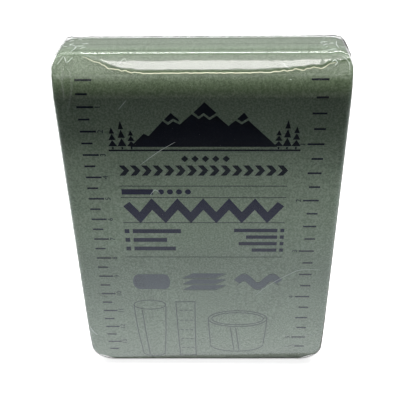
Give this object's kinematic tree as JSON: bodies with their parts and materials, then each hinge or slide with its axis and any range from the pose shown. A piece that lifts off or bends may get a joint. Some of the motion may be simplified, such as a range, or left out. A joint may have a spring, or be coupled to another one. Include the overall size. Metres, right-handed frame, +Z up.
{
  "type": "folded foam splint in clear film wrap",
  "caption": "Long padded foam splint printed with rulers, folded to and fro into a flat upright pack and shrink-wrapped in clear film.",
  "frame": {"origin": "centre of the pack's outer box, on the surface that it stands on", "axes": "+Z up the pack's height, X across the strip, printed face towards -Y"},
  "size_m": [0.1098, 0.0252, 0.1546],
  "materials": {
    "printed_foam": "green-grey closed-cell foam with a fine pebbled skin",
    "plain_foam": "green-grey closed-cell foam with a fine pebbled skin",
    "clear_film": "clear glossy shrink film, creased at the corners",
    "print_ink": "dark blue screen-printed ink"
  },
  "bodies": {
    "root": {"face_foam": "printed_foam", "back_foam": "plain_foam", "film_wrap": "clear_film"}
  },
  "joints": []
}
